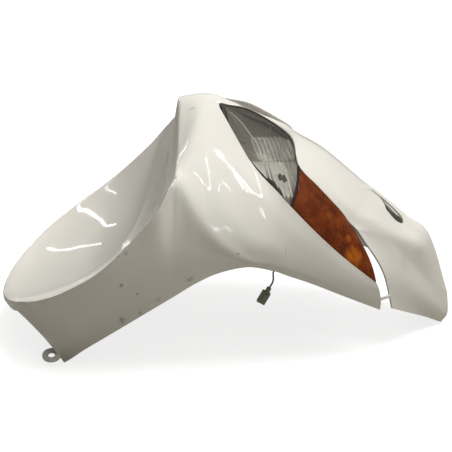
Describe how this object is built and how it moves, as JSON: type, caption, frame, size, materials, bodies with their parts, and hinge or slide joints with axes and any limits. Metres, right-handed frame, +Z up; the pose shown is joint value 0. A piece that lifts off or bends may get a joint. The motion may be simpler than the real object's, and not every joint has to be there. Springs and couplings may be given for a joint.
{
  "type": "motor scooter front fairing panel",
  "caption": "One-piece compound-curved scooter leg shield with a concave wheel bowl, pointed tongue, built-in lamps and air slots.",
  "frame": {"origin": "centre of the bounding box on the ground that the panel lies on, open back down", "axes": "+X along the panel towards the handlebar end, +Y across it, +Z up, which is the scooter's forward side"},
  "size_m": [0.7252, 0.462, 0.387],
  "materials": {
    "white_shell": "gloss white ABS, lightly worn",
    "clear_lens": "clear polycarbonate",
    "amber_lens": "amber polycarbonate",
    "seal_rubber": "matt black",
    "lamp_body": "grey moulded plastic",
    "reflector": "metallised plastic",
    "bulb_glass": "clear glass",
    "holder_rubber": "black rubber",
    "screw_steel": "zinc plated",
    "lead_sheath": "black PVC",
    "plug_plastic": "olive grey nylon",
    "pin_brass": "tinned brass"
  },
  "bodies": {
    "root": {"apron_shell": "white_shell", "headlamp_lens_near": "clear_lens", "headlamp_lens_far": "clear_lens", "indicator_lens_near": "amber_lens", "indicator_lens_far": "amber_lens", "lamp_seal_near": "seal_rubber", "lamp_seal_far": "seal_rubber", "lamp_housing_near": "lamp_body", "lamp_housing_far": "lamp_body", "headlamp_reflector_near": "reflector", "headlamp_reflector_far": "reflector", "indicator_reflector_near": "reflector", "indicator_reflector_far": "reflector", "headlamp_bulb_near": "bulb_glass", "headlamp_bulb_far": "bulb_glass", "indicator_bulb_near": "bulb_glass", "indicator_bulb_far": "bulb_glass", "headlamp_holder_near": "holder_rubber", "headlamp_holder_far": "holder_rubber", "indicator_holder_near": "holder_rubber", "indicator_holder_far": "holder_rubber", "lamp_screws_near": "screw_steel", "lamp_screws_far": "screw_steel", "indicator_lead": "lead_sheath", "lead_plug": "plug_plastic", "lead_pins": "pin_brass"}
  },
  "joints": []
}
